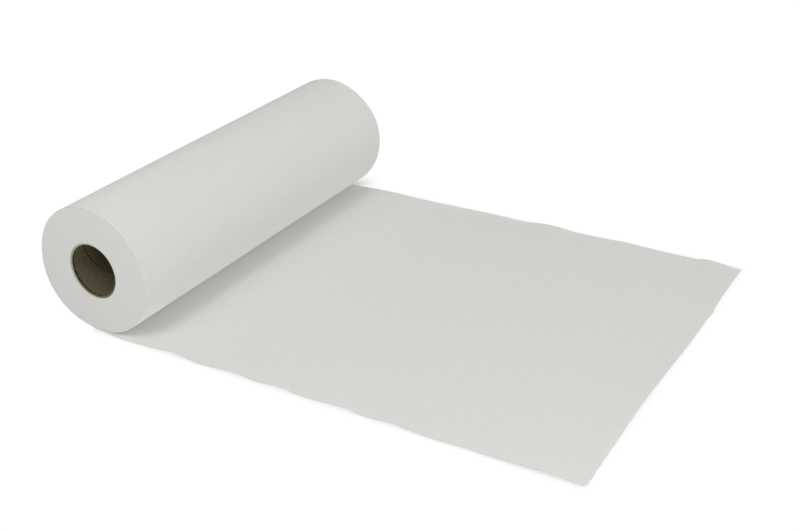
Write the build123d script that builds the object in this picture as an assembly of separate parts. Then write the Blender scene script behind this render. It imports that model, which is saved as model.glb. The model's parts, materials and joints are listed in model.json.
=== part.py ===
"""Exam table paper roll: couch paper wound on a board core, with its loose end laid out flat.

Frame: +Y runs along the roll, +X is the way the loose sheet is drawn off, +Z is up.
The origin is on the floor, under the roll's axis and half way along it. Lengths are millimetres.
"""
import os
from math import sqrt

from build123d import *

# Driving dimensions of the wound roll
WEB_WIDTH = 400.0  # width of the paper, and so length of the roll
ROLL_DIAMETER = 127.0  # over the outermost turn
PAPER_THICKNESS = 0.2  # two plies of crepe tissue
FLAT_SPOT = 16.0  # width of the soft roll's flat where it rests

# Driving dimensions of the board core
CORE_BORE = 52.0  # clear diameter for a spindle
CORE_WALL = 1.9
CORE_RECESS = 1.2  # how far the core stops short of each paper edge

# Driving dimensions of the turns that show on the roll's ends
TURN_PITCH = 3.2  # from one drawn turn to the next, far coarser than the paper itself
TURN_GROOVE_WIDTH = 0.6
TURN_GROOVE_DEPTH = 0.4

# Driving dimensions of the loose sheet
SHEET_REACH = 490.0  # from the roll's axis to the torn free end
LAID_RUN = 50.0  # from the roll's axis to where the edges begin to lift
NEAR_BAND = 60.0  # width of the strip that lifts along the near edge
FAR_BAND = 70.0  # width of the strip that lifts along the far edge

# Lifts of the sheet's edges off the floor: place from the roll's axis, and height
NEAR_LIFTS = ((86.0, 1.8), (200.0, 1.3), (275.0, 1.5), (318.0, 1.6), (395.0, 0.8), (462.0, 1.7))
FAR_LIFTS = ((196.0, 0.6), (280.0, 2.3), (368.0, 1.2), (457.0, 2.4))

# Worked out from the driving dimensions
ROLL_RADIUS = ROLL_DIAMETER / 2
CORE_RADIUS = CORE_BORE / 2 + CORE_WALL
AXIS_HEIGHT = sqrt(ROLL_RADIUS**2 - (FLAT_SPOT / 2) ** 2)
NEAR_EDGE = -WEB_WIDTH / 2
FAR_EDGE = WEB_WIDTH / 2


def roll_profile():
    """Section across the roll: the turns as one disc on its flat spot, running out into the sheet."""
    nip_height = AXIS_HEIGHT - PAPER_THICKNESS
    nip = (sqrt(ROLL_RADIUS**2 - nip_height**2), PAPER_THICKNESS)
    flat_back = (-FLAT_SPOT / 2, 0)
    crown = (0, AXIS_HEIGHT + ROLL_RADIUS)
    outline = [
        Line((LAID_RUN, 0), flat_back),
        ThreePointArc(flat_back, crown, nip),
        Line(nip, (LAID_RUN, PAPER_THICKNESS)),
        Line((LAID_RUN, PAPER_THICKNESS), (LAID_RUN, 0)),
    ]
    disc = make_face(outline)
    return disc - Pos(0, AXIS_HEIGHT) * Circle(CORE_RADIUS)


def wound_roll():
    """The wound turns and the first flat run of the sheet, over the full width."""
    return extrude(Plane.XZ * roll_profile(), WEB_WIDTH / 2, both=True)


def turn_spiral():
    """Ribbon of half circles that winds outwards from the core, each a half pitch wider than the last."""
    step = TURN_PITCH / 2
    first_radius = CORE_RADIUS + step
    half_turns = int((AXIS_HEIGHT - step - first_radius) / step)
    inner_arcs = []
    outer_arcs = []
    for i in range(half_turns):
        centre = (step * (i % 2) - step / 2, AXIS_HEIGHT)
        radius = first_radius + i * step
        start = 180 * (i % 2)
        inner_arcs.append(CenterArc(centre, radius - TURN_GROOVE_WIDTH / 2, start, 180))
        outer_arcs.append(CenterArc(centre, radius + TURN_GROOVE_WIDTH / 2, start, 180))
    caps = [
        Line(inner_arcs[0] @ 0, outer_arcs[0] @ 0),
        Line(inner_arcs[-1] @ 1, outer_arcs[-1] @ 1),
    ]
    return make_face([*inner_arcs, *outer_arcs, *caps])


def turn_grooves():
    """The spiral sunk into both ends of the roll, so that the edges of the turns show."""
    ribbon = Plane.XZ * turn_spiral()
    near = Pos(0, NEAR_EDGE, 0) * extrude(ribbon, -TURN_GROOVE_DEPTH)
    far = Pos(0, FAR_EDGE, 0) * extrude(ribbon, TURN_GROOVE_DEPTH)
    return near + far


def lifted_edge(y, lifts):
    """Line of a sheet edge: down on the floor between its lifts, level at each crest and each trough."""
    crests = [lift for lift in lifts if LAID_RUN < lift[0] < SHEET_REACH]
    troughs = [((before[0] + after[0]) / 2, 0) for before, after in zip(crests, crests[1:])]
    stations = sorted([(LAID_RUN, 0), *crests, *troughs, (SHEET_REACH, 0)])
    points = [Vector(place, y, height) for place, height in stations]
    return Edge.make_spline(points, [Vector(1, 0, 0)] * len(points))


def lifted_band(edge_y, inner_y, lifts):
    """Strip of the sheet along one edge, straight across from its waved edge to the flat middle."""
    waved = lifted_edge(edge_y, lifts)
    straight = Edge.make_line((LAID_RUN, inner_y, 0), (SHEET_REACH, inner_y, 0))
    underside = Face.make_surface_from_curves(waved, straight)
    return Solid.extrude(underside, Vector(0, 0, PAPER_THICKNESS))


def sheet_middle():
    """The flat middle of the loose sheet, between its two lifted bands."""
    length = SHEET_REACH - LAID_RUN
    width = WEB_WIDTH - NEAR_BAND - FAR_BAND
    low = (Align.MIN, Align.MIN, Align.MIN)
    return Pos(LAID_RUN, NEAR_EDGE + NEAR_BAND, 0) * Box(length, width, PAPER_THICKNESS, align=low)


def paper_web():
    """The whole web of paper in one piece, from the first turn on the core to the torn end."""
    near = lifted_band(NEAR_EDGE, NEAR_EDGE + NEAR_BAND, NEAR_LIFTS)
    far = lifted_band(FAR_EDGE, FAR_EDGE - FAR_BAND, FAR_LIFTS)
    return wound_roll() + sheet_middle() + near + far - turn_grooves()


def cardboard_core():
    """Wound board tube that the paper is rolled on, a little shorter than the paper is wide."""
    ring = Circle(CORE_RADIUS) - Circle(CORE_BORE / 2)
    section = Plane.XZ * (Pos(0, AXIS_HEIGHT) * ring)
    return extrude(section, WEB_WIDTH / 2 - CORE_RECESS, both=True)


os.makedirs("parts", exist_ok=True)
export_step(paper_web(), "parts/paper_web.step")
export_step(cardboard_core(), "parts/cardboard_core.step")
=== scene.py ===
"""Looks of an exam table paper roll: soft tissue wound on a board core, its loose end laid out on the floor.

Shapes are worked out in millimetres, in the part's own frame: +Y runs along the roll, and +X is the way that
the sheet is drawn off. Places along the sheet are measured from the roll's axis.
"""

import json
import math

import bpy
import numpy as np
from mathutils import Matrix, Vector


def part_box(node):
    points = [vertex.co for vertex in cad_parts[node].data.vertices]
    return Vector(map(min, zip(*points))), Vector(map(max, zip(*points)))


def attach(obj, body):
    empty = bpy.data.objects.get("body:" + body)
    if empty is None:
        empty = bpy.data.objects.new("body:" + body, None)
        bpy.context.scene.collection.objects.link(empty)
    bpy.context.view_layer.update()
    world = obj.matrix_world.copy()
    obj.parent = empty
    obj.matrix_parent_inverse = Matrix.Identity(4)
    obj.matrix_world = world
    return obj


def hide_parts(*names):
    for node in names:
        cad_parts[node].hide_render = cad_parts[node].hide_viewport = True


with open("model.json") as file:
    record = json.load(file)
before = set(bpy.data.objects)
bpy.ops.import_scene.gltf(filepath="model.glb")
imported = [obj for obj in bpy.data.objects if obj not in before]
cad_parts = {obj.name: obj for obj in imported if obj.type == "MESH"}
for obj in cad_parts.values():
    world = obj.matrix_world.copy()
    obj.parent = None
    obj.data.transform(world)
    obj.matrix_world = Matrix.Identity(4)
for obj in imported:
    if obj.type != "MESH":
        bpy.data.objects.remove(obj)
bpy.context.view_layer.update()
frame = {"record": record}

MM = 0.001  # metres in a millimetre
TURN = 2 * np.pi

# Sizes taken from the frame
web_high = np.array(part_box("paper_web")[1]) / MM
core_low, core_high = (np.array(corner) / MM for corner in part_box("cardboard_core"))
bore_mount = next(mount for mount in frame["record"]["mounts"] if mount["name"] == "core_bore")
AXIS_HEIGHT = bore_mount["pos_m"][2] / MM
BORE_RADIUS = bore_mount["dims"]["r_mm"]
ROLL_RADIUS = web_high[2] - AXIS_HEIGHT
CORE_RADIUS = (core_high[0] - core_low[0]) / 2
HALF_WIDTH = web_high[1]
CORE_HALF = core_high[1]
SHEET_REACH = web_high[0]

# Sizes of the paper
PAPER_THICKNESS = 0.2
FLAT_HALF = math.sqrt(ROLL_RADIUS**2 - AXIS_HEIGHT**2)  # half the soft roll's flat spot
TUCK_LENGTH = 6.0  # of the outer turn that goes back in under the roll
TURN_CLEARANCE = 0.15  # between the outer turn and those inside it

# Lifts of the sheet's edges: place along the sheet, height, length back to the roll, length on to the torn
# end, and how sharply the lift starts, where 1 is a crease and 2 is smooth
NEAR_LIFTS = [(120, 0.4, 60, 70, 2), (250, 0.5, 60, 60, 2), (350, 0.6, 40, 50, 2), (445, 1.3, 70, 90, 2)]
FAR_LIFTS = [
    (78, 0.9, 50, 44, 2), (207, 0.7, 50, 28, 2), (281, 2.4, 29, 30, 1), (368, 1.2, 36, 42, 2),
    (453, 2.0, 10, 34, 1),
]
NEAR_BAND = 60.0  # how far in from its edge a lift reaches
FAR_BAND = 70.0
LIFT_START, LIFT_FULL = 12.0, 45.0  # between these places the sheet comes free of the roll

# Slack of the laid sheet: low waves along it, and one dent by the far corner
SLACK_HEIGHT = 0.08
SLACK_START, SLACK_FULL = 90.0, 300.0  # between these places the waves rise
SLACK_WIDTH = 57.0  # from one wave to the next
SLACK_WANDER = 0.2  # share of that width by which the waves wander sideways
WANDER_LENGTH = 85.0  # along the sheet for one radian of that
DENT_HEIGHT = 0.35
DENT_ALONG = (470, 22, 20)  # place, and length before and after it
DENT_ACROSS = (158, 26, 24)

# Drift of the sheet's edges, sideways from the roll's ends
DRIFT_START, DRIFT_FULL = -8.0, 17.0  # between these places the near edge leaves the roll's end
DRIFT_POWER = 6  # the higher it is, the closer to the edges the drift stays
NEAR_STAND = 1.9  # how far the near edge stands out beside the roll
NEAR_SPREAD = 0.0023  # and how much more for each millimetre along the sheet
# waves of the near edge: place along the sheet, how far the edge stands out there, length back and length on
NEAR_WAVES = [
    (34, 1.6, 40, 26), (86, -2.5, 26, 26), (121, 1.2, 24, 18), (158, -1.9, 30, 22), (206, -2.3, 24, 26),
    (273, -2.4, 34, 18), (318, -2.2, 20, 30), (360, 0.7, 22, 18), (395, -1.0, 30, 24), (427, -1.1, 22, 24),
    (463, -2.4, 36, 30), (492, -1.2, 20, 10),
]
FAR_STEPS = [(-0.8, 362, 376), (-2.6, 458, 492)]  # how far the far edge draws in, and between which places

# Torn end of the sheet
END_SHIFT = -0.35  # of the whole end along the sheet
END_SLANT = 0.0035  # along the sheet, for each millimetre across it
END_WAVE, END_WAVE_LENGTH, END_WAVE_CREST = 1.1, 240.0, 50.0
END_BULGES = [(100, 1.2, 16, 16), (-195, 1.0, 24, 20)]  # place across, size, and length before and after
TOOTH_SIZE, TOOTH_PITCH = 0.35, 6.6
TOOTH_FADE, TOOTH_GROUP = 0.4, 41.0  # how much teeth weaken, and from one group of strong ones to the next
TEAR_SIZE, TEAR_PITCH, TEAR_START = 0.25, 14.3, 1.0  # slower unevenness under the teeth
NEAR_CORNER = 3.5  # radius of the blunted corners
FAR_CORNER = 2.0

# Where the soft turns stand out of round: angle from +X towards +Z in degrees, how far, half the angle it
# takes, and the end where it is greatest, -1 for near and 1 for far
TURN_SLACKS = [(213, 2.5, 48, -1), (17, 1.3, 34, 1)]

# Unevenness of the outermost turn
EASE_SIZE = 0.05
EASE_WAVES = [(7, 60.0, 0.0), (11, -43.0, 2.0)]  # waves round the roll, run along it for a radian, start
EASE_FADE = 0.4  # radians round the roll over which it rises from nothing at the nip

# Turns on the roll's ends, drawn coarser than the paper so that they can show
TURN_PITCH = 1.8
TURN_RELIEF = 0.02
RELIEF_FADE = 0.4  # how much weaker some turns are than others
FADE_RUN = 2.3  # across the turns for one radian of that
FADE_WANDER = 0.7  # radians by which that wanders
WANDER_RUN = 5.1  # across the turns for one radian of the wander
SWELLS = [(0.05, 11.0, 0.5), (0.03, 6.7, 2.0)]  # height, width from one to the next, and start
RIM_SOFTNESS = 1.2  # how far in from the rim the outermost turns fall back
RIM_DROP = 0.25

# Board core, with angles from +X towards +Z
SEAM_LEAD = 86.5  # along the bore for one turn of the seam
SEAM_START = math.radians(88.0)  # angle of the seam at the near end of the roll
SEAM_HALF_WIDTH = 1.1
SEAM_DEPTH = 0.5
SEAM_FLOOR, SEAM_BRINK, LIP_FOOT, PLAIN_START = 0.6, 1.1, 2.4, 4.0  # from the seam's middle, in half widths
LIP_HEIGHT = 0.06
MOUTH_SHADE_REACH = 4.0  # how far in from the cut ends the bore carries painted shade
MOUTH_SHADE_SIDE = math.radians(212.0)  # where that painted shade is strongest
PALE_SIDE = math.radians(102.0)  # where the cut ends are palest, turning browner towards the bottom
CUT_RELIEF = 0.12  # how far fibres stand out of the cut ends
CUT_WAVES = [(31, 40, 0), (17, -25, 1)]  # waves round the wall, radians across it, and start

# Fineness of the meshes
EDGE_STEPS = np.array([0, 0.3, 0.7, 1.3])  # columns that crowd at the sheet's edges
EDGE_RUN = 2.0  # where the even columns start
SHEET_COLUMNS = 193
END_RUN = 12.0  # stretch of finer rows at the torn end
END_ROWS = 9
FLOOR_ROWS = 135
ROUND_ROWS = 82
TUCK_ROWS = 3
END_RINGS = 92
ROLL_SECTORS = 256
CUT_RINGS = np.array([0.12, 0.35, 0.65])  # across the cut board, as shares of its wall
MOUTH_STEPS = np.array([0, 0.4, 0.9, 1.5, 2.2])  # rows that crowd at the mouths of the bore
CORE_COLUMNS = 105
BORE_ROWS = 217
SHELL_ROWS = 241
SHARP_ANGLE = math.radians(35.0)  # edges that turn by more are drawn sharp

# Patterns of the materials, some drawn coarser than they are so that they can show
CLOUD_SIZE = 7.0  # of the paper's fibre clouds
RIDGE_PITCH, RIDGE_LENGTH, RIDGE_HEIGHT = 1.1, 7.0, 0.12  # of its crepe, in truth about 0.5 mm apart
RING_PITCH = 1.0  # of the turns on the roll's ends, in truth one paper thickness apart
STREAK_WIDTH, STREAK_LENGTH, STREAK_HEIGHT = 0.9, 9.0, 0.1  # of the board's fibres
FLECK_SIZE = 1.5  # of unpulped waste in the board
MOUTH_SHADE_STRENGTH = 0.62  # how much the painted shade adds to the noise of the flecks
TONE_PLACES = (0.3, 0.7)  # values of a noise where the two tones of a colour lie

# Camera, as in the photograph
CAMERA_AZIMUTH, CAMERA_ELEVATION, CAMERA_ROLL = map(math.radians, (31.579, 27.255, -1.757))
CAMERA_TARGET = Vector((180.55, 45.90, 0.0)) * MM
CAMERA_DISTANCE = 1240.0 * MM
CAMERA_LENS = 54.296
SENSOR_WIDTH = 36.0

# Softboxes: place and side in metres, and power in watts
SOFTBOXES = {
    "right_softbox": ((0.9, -0.9, 0.5), 0.4, 1.4),
    "low_softbox": ((0.9, -0.6, 0.35), 0.3, 0.57),
    "rear_softbox": ((1.4, 0.9, 0.7), 0.8, 9.1),
    "top_softbox": ((0.5, -0.5, 2.0), 0.6, 1.2),
    "front_softbox": ((0.2, -0.8, 1.2), 0.3, 1.7),
    "left_softbox": ((0.0, -0.9, 0.7), 0.5, 1.42),
}
LIGHT_AIM = Vector((0.2, 0.0, 0.0))
FILL_LEVEL = 0.328  # of the white surround, as light on the object

# Floor
FLOOR_HALF = 6000.0  # half its side
FLOOR_DROP = 0.1  # below the paper that lies on it
FLOOR_WHITE = 1.05  # a hair over white, so that noise leaves no grey
# oblongs that keep the object's shadow: two corners, how soon the floor fades to white outside, and the
# share of the floor's own shade that shows. One lies under the sheet, one at the far end of the roll.
SHADES = [((-5, -202, 0), (488, 199, 0), 4.5, 0.6), ((-20, 190, 0), (30, 208, 0), 12.0, 0.8)]


def to_linear(hex_colour):
    """Linear RGBA of an sRGB hex colour."""
    srgb = np.array([int(hex_colour[i:i + 2], 16) for i in (1, 3, 5)]) / 255
    linear = np.where(srgb <= 0.04045, srgb / 12.92, ((srgb + 0.055) / 1.055) ** 2.4)
    return (*linear.tolist(), 1.0)


def add_node(tree, kind, settings=None, inputs=None):
    """A new node: settings are its own properties, and inputs are socket values or sockets to link to it."""
    node = tree.nodes.new(kind)
    for name, value in (settings or {}).items():
        setattr(node, name, value)
    for name, value in (inputs or {}).items():
        if isinstance(value, bpy.types.NodeSocket):
            tree.links.new(value, node.inputs[name])
        else:
            node.inputs[name].default_value = value
    return node


def new_material(name):
    """An empty node material with its tree and its output."""
    material = bpy.data.materials.new(name)
    material.use_nodes = True
    tree = material.node_tree
    tree.nodes.clear()
    return material, tree, tree.nodes.new("ShaderNodeOutputMaterial")


def grid_quads(index):
    """The four corners of every cell of a grid of vertex numbers."""
    return np.stack([index[:-1, :-1], index[1:, :-1], index[1:, 1:], index[:-1, 1:]], -1).reshape(-1, 4)


def wrapped(index, axis):
    """A grid of vertex numbers closed on itself along one axis."""
    return np.concatenate([index, index.take([0], axis)], axis)


def add_piece(name, points, quads, uv, material):
    """A smooth mesh object at the origin, from points in mm, quads, and one UV in mm for each point."""
    mesh = bpy.data.meshes.new(name)
    mesh.from_pydata((points * MM).tolist(), [], quads.tolist())
    layer = mesh.uv_layers.new(name="web")
    layer.data.foreach_set("uv", (uv[quads.ravel()] * MM).astype(np.float32).ravel())
    mesh.polygons.foreach_set("use_smooth", np.ones(len(quads), bool))
    mesh.set_sharp_from_angle(angle=SHARP_ANGLE)
    mesh.materials.append(material)
    piece = bpy.data.objects.new(name, mesh)
    bpy.context.collection.objects.link(piece)
    return piece


def add_attribute(piece, name, values):
    """One number for each vertex of a piece, for its material to read."""
    layer = piece.data.attributes.new(name, "FLOAT", "POINT")
    layer.data.foreach_set("value", values.astype(np.float32).ravel())


def smooth_step(x, low, high):
    """Nothing below low, one above high, and an S-shaped rise between them."""
    share = np.clip((x - low) / (high - low), 0, 1)
    return share * share * (3 - 2 * share)


def bump(x, centre, back, fore, sharpness=2):
    """One at the centre, falling to nothing a length back before it and a length fore after it.

    It is one less the square of the distance's share of that length, all squared, or not on a creased back.
    """
    share = (x - centre) / np.where(x < centre, back, fore)
    return np.clip(1 - share**2, 0, 1) ** np.where(x < centre, sharpness, 2)


def edge_lift(x, lifts):
    """Height of a sheet edge along the sheet: the sum of its lifts."""
    return sum(height * bump(x, centre, back, fore, start) for centre, height, back, fore, start in lifts)


def sheet_height(x, y):
    """Height of the sheet's underside off the floor.

    Each edge's lift falls with the square of the way in across its band. Over it all lie slack waves along
    the sheet, which start a hand's width from the roll, and one dent inside the far corner.
    """
    near_share = np.clip(1 - (y + HALF_WIDTH) / NEAR_BAND, 0, 1) ** 2
    far_share = np.clip(1 - (HALF_WIDTH - y) / FAR_BAND, 0, 1) ** 2
    lifts = edge_lift(x, NEAR_LIFTS) * near_share + edge_lift(x, FAR_LIFTS) * far_share
    waves = 1 + np.sin(TURN * (y / SLACK_WIDTH + SLACK_WANDER * np.sin(x / WANDER_LENGTH)))
    slack = SLACK_HEIGHT * smooth_step(x, SLACK_START, SLACK_FULL) * waves
    dent = DENT_HEIGHT * bump(x, *DENT_ALONG) * bump(y, *DENT_ACROSS)
    return lifts + slack + dent


def corner_drop(distance, radius):
    """How far a corner blunted to a quarter circle falls back, at a distance in from its edge."""
    inside = np.clip(distance, 0, radius)
    return radius - np.sqrt(radius**2 - (radius - inside) ** 2)


def free_end(y):
    """Place of the torn end across the sheet.

    A slight slant with a slow wave, two bulges, and torn teeth that come and go, less two blunted corners.
    """
    slant = END_SHIFT + END_SLANT * y
    wave = END_WAVE * np.cos(TURN * (y - END_WAVE_CREST) / END_WAVE_LENGTH)
    bulges = sum(size * bump(y, place, before, after) for place, size, before, after in END_BULGES)
    strength = 1 - TOOTH_FADE * (1 - np.sin(TURN * y / TOOTH_GROUP))
    teeth = TOOTH_SIZE * strength * np.sin(TURN * y / TOOTH_PITCH)
    tear = TEAR_SIZE * np.sin(TURN * y / TEAR_PITCH + TEAR_START)
    corners = corner_drop(HALF_WIDTH + y, NEAR_CORNER) + corner_drop(HALF_WIDTH - y, FAR_CORNER)
    return SHEET_REACH + slant + wave + bulges + teeth + tear - corners


def edge_drift(x, across):
    """How far the sheet's edges wander sideways from the roll's ends.

    The near edge stands out by a straight line and its waves, and the far edge draws in by steps. Both fade
    inwards with a high power of the distance from the sheet's middle.
    """
    waves = sum(size * bump(x, centre, back, fore) for centre, size, back, fore in NEAR_WAVES)
    near = smooth_step(x, DRIFT_START, DRIFT_FULL) * (NEAR_STAND + NEAR_SPREAD * x + waves)
    far = sum(size * smooth_step(x, low, high) for size, low, high in FAR_STEPS)
    return far * np.clip(across, 0, 1) ** DRIFT_POWER - near * np.clip(-across, 0, 1) ** DRIFT_POWER


def turn_slack(angle, across):
    """How far the soft turns stand out of round: bumps round the roll, each fading evenly to one end."""
    # counted round from the roll's foot, at -90
    degrees = (np.degrees(angle) + 90) % 360 - 90
    return sum(
        size * bump(degrees, place, width, width) * (1 + end * across) / 2
        for place, size, width, end in TURN_SLACKS
    )


def loose_sheet(material):
    """The outermost turn and the loose sheet, one strip of paper with two faces a paper thickness apart.

    Along the strip, from the torn end: straight along the floor to the back of the flat spot, clockwise
    round the roll, and in over the sheet at the nip. Across it: the width, on columns that crowd at both
    edges.
    """
    width = 2 * HALF_WIDTH
    even_columns = np.linspace(EDGE_RUN, width - EDGE_RUN, SHEET_COLUMNS)
    across = np.concatenate([EDGE_STEPS, even_columns, width - EDGE_STEPS[::-1]]) / HALF_WIDTH - 1
    end_steps = np.linspace(0, END_RUN, END_ROWS)[:-1]
    floor_steps = np.concatenate([end_steps, np.linspace(END_RUN, SHEET_REACH + FLAT_HALF, FLOOR_ROWS)])
    nip_x = math.sqrt(ROLL_RADIUS**2 - (AXIS_HEIGHT - PAPER_THICKNESS) ** 2)
    nip_angle = -math.acos(nip_x / ROLL_RADIUS)
    back_angle = TURN - math.acos(-FLAT_HALF / ROLL_RADIUS)
    angle = np.linspace(back_angle, nip_angle, ROUND_ROWS)[1:, None]
    tuck = np.linspace(0, TUCK_LENGTH, TUCK_ROWS)[1:, None]

    y = HALF_WIDTH * across[None, :]
    share = floor_steps[:, None] / floor_steps[-1]
    floor_x = free_end(y) * (1 - share) - FLAT_HALF * share
    loose = smooth_step(floor_x, LIFT_START, LIFT_FULL)
    floor = np.stack([floor_x, y + edge_drift(floor_x, across), sheet_height(floor_x, y) * loose], -1)

    radial = np.stack(np.broadcast_arrays(np.cos(angle), 0 * y, np.sin(angle)), -1)
    centre = np.stack(np.broadcast_arrays(0 * angle, y, AXIS_HEIGHT + 0 * angle), -1)
    rim = RIM_DROP * bump(np.abs(across), 1, RIM_SOFTNESS / HALF_WIDTH, 1)[None, :, None]
    past_nip = smooth_step(angle, nip_angle, nip_angle + EASE_FADE)
    past_back = smooth_step(-angle, -back_angle, EASE_FADE - back_angle)
    waves = sum(np.sin(count * angle + y / run + start) for count, run, start in EASE_WAVES)
    ease = EASE_SIZE * past_nip * past_back * waves
    slack = turn_slack(angle, across[None, :])
    round_turn = centre + (ROLL_RADIUS - rim + (ease + slack)[..., None]) * radial
    tucked = np.stack(np.broadcast_arrays(nip_x - tuck, y, PAPER_THICKNESS + 0 * tuck), -1)

    outside = np.concatenate([floor, round_turn, tucked])
    up = np.array([0, 0, 1.0])
    inward = np.concatenate([np.broadcast_to(up, floor.shape), -radial, np.broadcast_to(up, tucked.shape)])
    inside = outside + PAPER_THICKNESS * inward

    rows, columns = outside.shape[:2]
    index = np.arange(rows * columns).reshape(rows, columns)
    inner_index = index + rows * columns
    border = np.concatenate([index[0, :], index[1:, -1], index[-1, -2::-1], index[-2:0:-1, 0]])
    wall = wrapped(np.stack([border, border + rows * columns]), 1)
    quads = np.concatenate([grid_quads(index), grid_quads(inner_index)[:, ::-1], grid_quads(wall)[:, ::-1]])
    steps = np.linalg.norm(np.diff(outside[:, columns // 2], axis=0), axis=1)
    run = np.concatenate([[0], np.cumsum(steps)])
    uv = np.stack(np.broadcast_arrays(run[:, None], y), -1).reshape(-1, 2)
    points = np.concatenate([outside.reshape(-1, 3), inside.reshape(-1, 3)])
    return add_piece("loose_sheet", points, quads, np.concatenate([uv, uv]), material), float(run[-1])


def turn_relief(radius, angle):
    """How far the turns' edges stand out of the roll's end.

    A cosine across each turn of a spiral that grows one pitch in a turn, stronger on some turns than on
    others, on slow swells where turns have slipped along the core. The outermost turns fall back to a soft
    rim.
    """
    phase = radius / TURN_PITCH - angle / TURN
    uneven = np.sin(radius / FADE_RUN + FADE_WANDER * np.sin(radius / WANDER_RUN))
    strength = 1 - RELIEF_FADE * (1 - uneven)
    swell = sum(height * np.sin(TURN * radius / width + start) for height, width, start in SWELLS)
    rim = RIM_DROP * bump(radius, ROLL_RADIUS, RIM_SOFTNESS, 1)
    return TURN_RELIEF * strength * np.cos(TURN * phase) + swell - rim


def wound_turns(material):
    """The turns inside the outermost one: a ring profile carried round the axis.

    It goes in across the far end, back along the core, out across the near end and along the outside.
    Towards the flat spot every radius is drawn in by the same share, as the turns of a soft roll are.
    """
    outer = ROLL_RADIUS - PAPER_THICKNESS - TURN_CLEARANCE
    ends = np.linspace(outer, CORE_RADIUS, END_RINGS)
    radius = np.concatenate([ends, ends[::-1]])[None, :]
    side = np.repeat([1.0, -1.0], len(ends))[None, :]
    angle = np.linspace(0, TURN, ROLL_SECTORS, endpoint=False)[:, None]
    # at the flat spot the turns rest on two layers of paper
    rest_depth = AXIS_HEIGHT - 2 * PAPER_THICKNESS - TURN_CLEARANCE
    flat = rest_depth / np.maximum(-np.sin(angle), rest_depth / outer)
    reach = flat + turn_slack(angle, side)
    squeezed = CORE_RADIUS + (radius - CORE_RADIUS) * (reach - CORE_RADIUS) / (outer - CORE_RADIUS)
    y = side * (HALF_WIDTH + turn_relief(radius, angle))
    points = np.stack([squeezed * np.cos(angle), y, AXIS_HEIGHT + squeezed * np.sin(angle)], -1)
    index = wrapped(wrapped(np.arange(y.size).reshape(y.shape), 0), 1)
    uv = np.stack(np.broadcast_arrays(angle * ROLL_RADIUS, radius), -1).reshape(-1, 2)
    return add_piece("wound_turns", points.reshape(-1, 3), grid_quads(index)[:, ::-1], uv, material)


def board_core(material):
    """The board tube: a ring profile carried round the axis, on columns twisted to follow the seam's helix.

    The bore drops by the seam's depth over the seam's width, with a low lip each side, so the butt joint of
    the inner ply winds down the bore. Both cut ends are roughened by a product of waves round the wall and
    across it. Attributes tell the material where the seam and the cut ends lie, where the cut ends turn
    browner towards the bottom, and where painted shade darkens the mouths.
    """
    seam_angle = SEAM_HALF_WIDTH / BORE_RADIUS
    beside_seam = seam_angle * np.array([SEAM_FLOOR, SEAM_BRINK, LIP_FOOT])
    plain_start = seam_angle * PLAIN_START
    plain = np.linspace(plain_start, TURN - plain_start, CORE_COLUMNS)
    column = np.concatenate([beside_seam, plain, TURN - beside_seam[::-1]])[None, :]
    middle = np.linspace(MOUTH_SHADE_REACH - CORE_HALF, CORE_HALF - MOUTH_SHADE_REACH, BORE_ROWS)
    bore_run = np.concatenate([MOUTH_STEPS - CORE_HALF, middle, CORE_HALF - MOUTH_STEPS[::-1]])
    shell_run = np.linspace(CORE_HALF, -CORE_HALF, SHELL_ROWS)
    on_bore, on_cut, on_shell = (np.ones(len(rows)) for rows in (bore_run, CUT_RINGS, shell_run))
    wall_share = np.concatenate([0 * on_bore, CUT_RINGS, on_shell, CUT_RINGS[::-1]])[:, None]
    along = np.concatenate([bore_run, CORE_HALF * on_cut, shell_run, -CORE_HALF * on_cut])[:, None]
    is_cut = np.concatenate([0 * on_bore, on_cut, 0 * on_shell, on_cut])[:, None]
    is_bore = np.concatenate([on_bore, 0 * on_cut, 0 * on_shell, 0 * on_cut])[:, None]

    angle = SEAM_START + (along + HALF_WIDTH) / SEAM_LEAD * TURN + column
    across_seam = np.abs((column + np.pi) % TURN - np.pi) / seam_angle
    gap = np.clip((SEAM_BRINK - across_seam) / (SEAM_BRINK - SEAM_FLOOR), 0, 1) * is_bore
    lip = np.clip((LIP_FOOT - across_seam) / (LIP_FOOT - SEAM_BRINK), 0, 1) * (across_seam > 1) * is_bore
    wall = (CORE_RADIUS - BORE_RADIUS) * wall_share
    radius = BORE_RADIUS + wall + SEAM_DEPTH * gap - LIP_HEIGHT * lip
    fibres = math.prod(np.sin(count * column + run * wall_share + start) for count, run, start in CUT_WAVES)
    y = along + np.sign(along) * CUT_RELIEF * fibres * is_cut
    points = np.stack([radius * np.cos(angle), y, AXIS_HEIGHT + radius * np.sin(angle)], -1)
    index = wrapped(wrapped(np.arange(y.size).reshape(y.shape), 0), 1)
    uv = np.stack(np.broadcast_arrays(column * BORE_RADIUS, along), -1).reshape(-1, 2)
    piece = add_piece("board_core", points.reshape(-1, 3), grid_quads(index)[:, ::-1], uv, material)

    # painted shade at the bore's mouths, strongest towards the lower left
    mouth = is_bore * np.clip(1 - (CORE_HALF - np.abs(along)) / MOUTH_SHADE_REACH, 0, 1)
    on_end = (np.abs(along) >= CORE_HALF) * (1 - is_bore)
    add_attribute(piece, "seam", gap)
    add_attribute(piece, "cut_end", np.broadcast_to(on_end, gap.shape))
    # the cut ends, paler towards the top and browner towards the bottom
    add_attribute(piece, "browner_below", on_end * (1 - np.cos(angle - PALE_SIDE)) / 2)
    add_attribute(piece, "mouth_shade", mouth * (1 + np.cos(angle - MOUTH_SHADE_SIDE)) / 2)
    return piece


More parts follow.
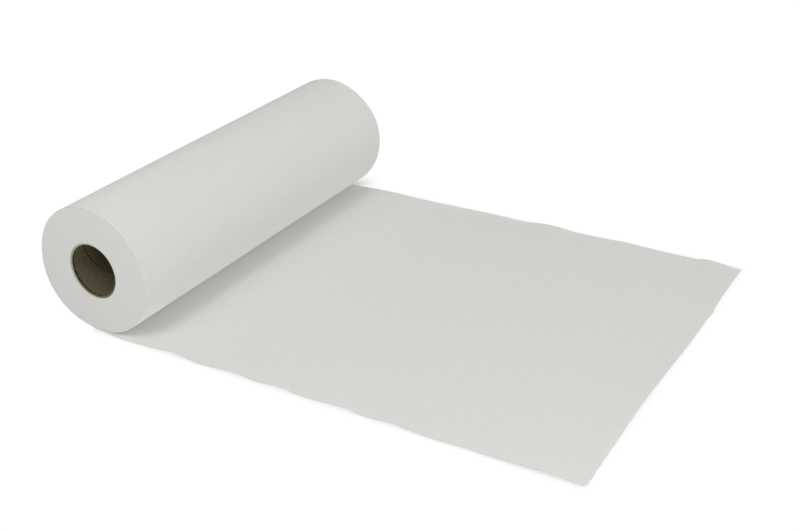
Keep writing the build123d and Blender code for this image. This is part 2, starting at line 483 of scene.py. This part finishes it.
def creped_tissue():
    """Tissue creped off a drying cylinder: matt white, faintly cloudy, with fine ridges across the web."""
    material, tree, output = new_material("creped_tissue")
    web = add_node(tree, "ShaderNodeUVMap", {"uv_map": "web"}).outputs[0]
    # fibre clouds
    clouds = {"Vector": web, "Scale": 1 / (CLOUD_SIZE * MM), "Detail": 3.0}
    cloud = add_node(tree, "ShaderNodeTexNoise", {}, clouds)
    colour = add_node(tree, "ShaderNodeValToRGB", {}, {"Fac": cloud.outputs["Fac"]})
    for tone, place, shade in zip(colour.color_ramp.elements, TONE_PLACES, ("#EAEBE7", "#EDEDE9")):
        tone.position = place
        tone.color = to_linear(shade)
    # crepe ridges
    stretch = (1 / (RIDGE_PITCH * MM), 1 / (RIDGE_LENGTH * MM), 1)
    ridged = add_node(tree, "ShaderNodeMapping", {}, {"Vector": web, "Scale": stretch})
    ridges = {"Vector": ridged.outputs[0], "Scale": 1.0, "Detail": 3.0}
    crepe = add_node(tree, "ShaderNodeTexNoise", {}, ridges)
    height = {"Height": crepe.outputs["Fac"], "Strength": 0.25, "Distance": RIDGE_HEIGHT * MM}
    relief = add_node(tree, "ShaderNodeBump", {}, height)
    surface = add_node(tree, "ShaderNodeBsdfPrincipled", {}, {
        "Base Color": colour.outputs["Color"],
        "Roughness": 0.95,
        "Diffuse Roughness": 1.0,
        "Specular IOR Level": 0.15,
        "Sheen Weight": 0.45,
        "Sheen Roughness": 0.5,
        "Normal": relief.outputs["Normal"],
    })
    tree.links.new(surface.outputs[0], output.inputs["Surface"])
    return material


def sawn_tissue_edges():
    """The sawn edges of hundreds of turns: matt white, with faint rings where plies lie looser."""
    material, tree, output = new_material("sawn_tissue_edges")
    web = add_node(tree, "ShaderNodeUVMap", {"uv_map": "web"}).outputs[0]
    radius = add_node(tree, "ShaderNodeSeparateXYZ", {}, {"Vector": web}).outputs["Y"]
    # rings by distance from the axis
    ring_scale = {"W": radius, "Scale": 1 / (RING_PITCH * MM), "Detail": 2.0}
    rings = add_node(tree, "ShaderNodeTexNoise", {"noise_dimensions": "1D"}, ring_scale)
    colour = add_node(tree, "ShaderNodeValToRGB", {}, {"Fac": rings.outputs["Fac"]})
    for tone, place, shade in zip(colour.color_ramp.elements, TONE_PLACES, ("#E9E9E5", "#EBEBE7")):
        tone.position = place
        tone.color = to_linear(shade)
    surface = add_node(tree, "ShaderNodeBsdfPrincipled", {}, {
        "Base Color": colour.outputs["Color"],
        "Roughness": 1.0,
        "Diffuse Roughness": 1.0,
        "Specular IOR Level": 0.1,
        "Sheen Weight": 0.45,
        "Sheen Roughness": 0.5,
    })
    tree.links.new(surface.outputs[0], output.inputs["Surface"])
    return material


def recycled_board():
    """Grey-brown waste-paper board, wound and glued: matt, with fibre streaks and flecks, dark in the seam.

    Where it is sawn through, its plies show, paler towards the top and browner towards the bottom.
    """
    material, tree, output = new_material("recycled_board")
    web = add_node(tree, "ShaderNodeUVMap", {"uv_map": "web"}).outputs[0]
    # fibre streaks, which run along the ply
    stretch = (1 / (STREAK_WIDTH * MM), 1 / (STREAK_LENGTH * MM), 1)
    streaked = add_node(tree, "ShaderNodeMapping", {}, {"Vector": web, "Scale": stretch})
    streaks = {"Vector": streaked.outputs[0], "Scale": 1.0, "Detail": 4.0}
    fibre = add_node(tree, "ShaderNodeTexNoise", {}, streaks)
    colour = add_node(tree, "ShaderNodeValToRGB", {}, {"Fac": fibre.outputs["Fac"]})
    for tone, place, shade in zip(colour.color_ramp.elements, TONE_PLACES, ("#6B6148", "#84795F")):
        tone.position = place
        tone.color = to_linear(shade)
    # dark flecks of unpulped waste, where a noise is highest
    specks = {"Vector": web, "Scale": 1 / (FLECK_SIZE * MM), "Detail": 1.0}
    fleck = add_node(tree, "ShaderNodeTexNoise", {}, specks)
    few = {"Value": fleck.outputs["Fac"], "From Min": 0.62, "From Max": 0.72}
    flecks = add_node(tree, "ShaderNodeMapRange", {}, few)
    specked = add_node(tree, "ShaderNodeMix", {"data_type": "RGBA"}, {
        "Factor": flecks.outputs["Result"],
        "A": colour.outputs["Color"],
        "B": to_linear("#3A3224"),
    })
    # ragged painted shade at the mouths, which reaches a few millimetres into the bore
    mouth_shade = add_node(tree, "ShaderNodeAttribute", {"attribute_name": "mouth_shade"})
    reach = {0: mouth_shade.outputs["Fac"], 1: MOUTH_SHADE_STRENGTH, 2: fleck.outputs["Fac"]}
    ragged = add_node(tree, "ShaderNodeMath", {"operation": "MULTIPLY_ADD"}, reach)
    shaded_range = {"Value": ragged.outputs[0], "From Min": 0.72, "From Max": 0.9}
    mouth_shade_share = add_node(tree, "ShaderNodeMapRange", {}, shaded_range)
    mouth_shaded = add_node(tree, "ShaderNodeMix", {"data_type": "RGBA"}, {
        "Factor": mouth_shade_share.outputs["Result"],
        "A": specked.outputs["Result"],
        "B": to_linear("#2A2519"),
    })
    # cut plies, paler towards the top and browner towards the bottom
    browner_below = add_node(tree, "ShaderNodeAttribute", {"attribute_name": "browner_below"})
    plies = add_node(tree, "ShaderNodeMix", {"data_type": "RGBA"}, {
        "Factor": browner_below.outputs["Fac"],
        "A": to_linear("#C4C1B6"),
        "B": to_linear("#857C64"),
    })
    cut_end = add_node(tree, "ShaderNodeAttribute", {"attribute_name": "cut_end"})
    sawn = add_node(tree, "ShaderNodeMix", {"data_type": "RGBA"}, {
        "Factor": cut_end.outputs["Fac"],
        "A": mouth_shaded.outputs["Result"],
        "B": plies.outputs["Result"],
    })
    # the open joint of the inner ply, dark with glue
    seam = add_node(tree, "ShaderNodeAttribute", {"attribute_name": "seam"})
    joined = add_node(tree, "ShaderNodeMix", {"data_type": "RGBA"}, {
        "Factor": seam.outputs["Fac"],
        "A": sawn.outputs["Result"],
        "B": to_linear("#1E1810"),
    })
    height = {"Height": fibre.outputs["Fac"], "Strength": 0.4, "Distance": STREAK_HEIGHT * MM}
    relief = add_node(tree, "ShaderNodeBump", {}, height)
    surface = add_node(tree, "ShaderNodeBsdfPrincipled", {}, {
        "Base Color": joined.outputs["Result"],
        "Roughness": 0.9,
        "Specular IOR Level": 0.2,
        "Normal": relief.outputs["Normal"],
    })
    tree.links.new(surface.outputs[0], output.inputs["Surface"])
    return material


def shade_share(tree, place, low, high, fade, share):
    """How much of the floor's own shade shows at a place: its share on an oblong, fading away from it."""
    middle = (Vector(low) + Vector(high)) / 2 * MM
    half = (Vector(high) - Vector(low)) / 2 * MM
    centred = add_node(tree, "ShaderNodeVectorMath", {"operation": "SUBTRACT"}, {0: place, 1: middle})
    mirrored = add_node(tree, "ShaderNodeVectorMath", {"operation": "ABSOLUTE"}, {0: centred.outputs[0]})
    sides = {0: mirrored.outputs[0], 1: half}
    past = add_node(tree, "ShaderNodeVectorMath", {"operation": "SUBTRACT"}, sides)
    none_inside = {0: past.outputs[0], 1: (0, 0, 0)}
    outside = add_node(tree, "ShaderNodeVectorMath", {"operation": "MAXIMUM"}, none_inside)
    away = add_node(tree, "ShaderNodeVectorMath", {"operation": "LENGTH"}, {0: outside.outputs[0]})
    falling = {0: away.outputs["Value"], 1: -1 / (fade * MM)}
    fades = add_node(tree, "ShaderNodeMath", {"operation": "MULTIPLY"}, falling)
    fading = add_node(tree, "ShaderNodeMath", {"operation": "EXPONENT"}, {0: fades.outputs[0]})
    shared = add_node(tree, "ShaderNodeMath", {"operation": "MULTIPLY"}, {0: fading.outputs[0], 1: share})
    return shared.outputs[0]


def seen_rays(tree):
    """One on rays that show the background, and zero on the rest.

    The rays that show it come from the camera, off a shiny surface or through a clear one.
    """
    light_path = add_node(tree, "ShaderNodeLightPath")
    camera_ray, glossy_ray, clear_ray = (
        light_path.outputs[name] for name in ("Is Camera Ray", "Is Glossy Ray", "Is Transmission Ray")
    )
    seen = add_node(tree, "ShaderNodeMath", {"operation": "MAXIMUM"}, {0: camera_ray, 1: glossy_ray})
    shown = add_node(tree, "ShaderNodeMath", {"operation": "MAXIMUM"}, {0: seen.outputs[0], 1: clear_ray})
    return shown.outputs[0]


def white_sweep():
    """A wide white floor: matt for the light, and lifted to white where it is seen away from the object."""
    material, tree, output = new_material("white_sweep")
    white = to_linear("#FFFFFF")
    place = add_node(tree, "ShaderNodeTexCoord").outputs["Object"]
    under_sheet, by_roll = (shade_share(tree, place, *oblong) for oblong in SHADES)
    shown = add_node(tree, "ShaderNodeMath", {"operation": "MAXIMUM"}, {0: under_sheet, 1: by_roll})
    lift = add_node(tree, "ShaderNodeEmission", {}, {"Color": white, "Strength": FLOOR_WHITE})
    shade = add_node(tree, "ShaderNodeBsdfDiffuse", {}, {"Color": white})
    shaded = {0: shown.outputs[0], 1: lift.outputs[0], 2: shade.outputs[0]}
    look = add_node(tree, "ShaderNodeMixShader", {}, shaded)
    matt = add_node(tree, "ShaderNodeBsdfDiffuse", {}, {"Color": to_linear("#F1F1F1")})
    chosen = {0: seen_rays(tree), 1: matt.outputs[0], 2: look.outputs[0]}
    choose = add_node(tree, "ShaderNodeMixShader", {}, chosen)
    tree.links.new(choose.outputs[0], output.inputs["Surface"])
    return material


def lay_floor():
    """A square of floor, a hair below the paper that lies on it."""
    half = FLOOR_HALF * MM
    height = -FLOOR_DROP * MM
    corners = [(-half, -half, height), (half, -half, height), (half, half, height), (-half, half, height)]
    mesh = bpy.data.meshes.new("floor")
    mesh.from_pydata(corners, [], [(0, 1, 2, 3)])
    mesh.materials.append(white_sweep())
    floor = bpy.data.objects.new("floor", mesh)
    bpy.context.collection.objects.link(floor)


def white_surround():
    """A surround that lights the object evenly, and that is plain white where it is seen."""
    world = bpy.data.worlds.new("white_surround")
    bpy.context.scene.world = world
    world.use_nodes = True
    tree = world.node_tree
    tree.nodes.clear()
    output = tree.nodes.new("ShaderNodeOutputWorld")
    white = to_linear("#FFFFFF")
    fill = add_node(tree, "ShaderNodeBackground", {}, {"Color": white, "Strength": FILL_LEVEL})
    backdrop = add_node(tree, "ShaderNodeBackground", {}, {"Color": white, "Strength": 1.0})
    chosen = {0: seen_rays(tree), 1: fill.outputs[0], 2: backdrop.outputs[0]}
    choose = add_node(tree, "ShaderNodeMixShader", {}, chosen)
    tree.links.new(choose.outputs[0], output.inputs["Surface"])


def hang_softboxes():
    """Square softboxes turned to the middle of the object, which no view shows."""
    for name, (place, side, power) in SOFTBOXES.items():
        lamp = bpy.data.lights.new(name, "AREA")
        lamp.shape = "SQUARE"
        lamp.size = side
        lamp.energy = power
        softbox = bpy.data.objects.new(name, lamp)
        softbox.location = place
        softbox.rotation_euler = (Vector(place) - LIGHT_AIM).to_track_quat("Z", "Y").to_euler()
        softbox.visible_camera = False
        bpy.context.collection.objects.link(softbox)


def photo_camera():
    """The camera at the photograph's viewing angle, turned about its own axis by the photograph's roll."""
    flat = math.cos(CAMERA_ELEVATION)
    height = math.sin(CAMERA_ELEVATION)
    back = Vector((math.sin(CAMERA_AZIMUTH) * flat, -math.cos(CAMERA_AZIMUTH) * flat, height))
    level = Vector((0, 0, 1)).cross(back).normalized()
    upright = back.cross(level)
    right = level * math.cos(CAMERA_ROLL) + upright * math.sin(CAMERA_ROLL)
    up = upright * math.cos(CAMERA_ROLL) - level * math.sin(CAMERA_ROLL)
    data = bpy.data.cameras.new("camera")
    data.lens = CAMERA_LENS
    data.sensor_width = SENSOR_WIDTH
    data.sensor_fit = "HORIZONTAL"
    camera = bpy.data.objects.new("camera", data)
    turned = Matrix((right, up, back)).transposed().to_4x4()
    camera.matrix_world = Matrix.Translation(CAMERA_TARGET + back * CAMERA_DISTANCE) @ turned
    bpy.context.collection.objects.link(camera)
    bpy.context.scene.camera = camera


bpy.context.scene.view_settings.view_transform = "Standard"

sheet, strip_length = loose_sheet(creped_tissue())
turns = wound_turns(sawn_tissue_edges())
core = board_core(recycled_board())
for piece, node, slot in (
    (sheet, "paper_web", "paper"),
    (turns, "paper_web", "paper"),
    (core, "cardboard_core", "board"),
):
    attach(piece, "root")
    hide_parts(node)

lay_floor()
white_surround()
hang_softboxes()
photo_camera()
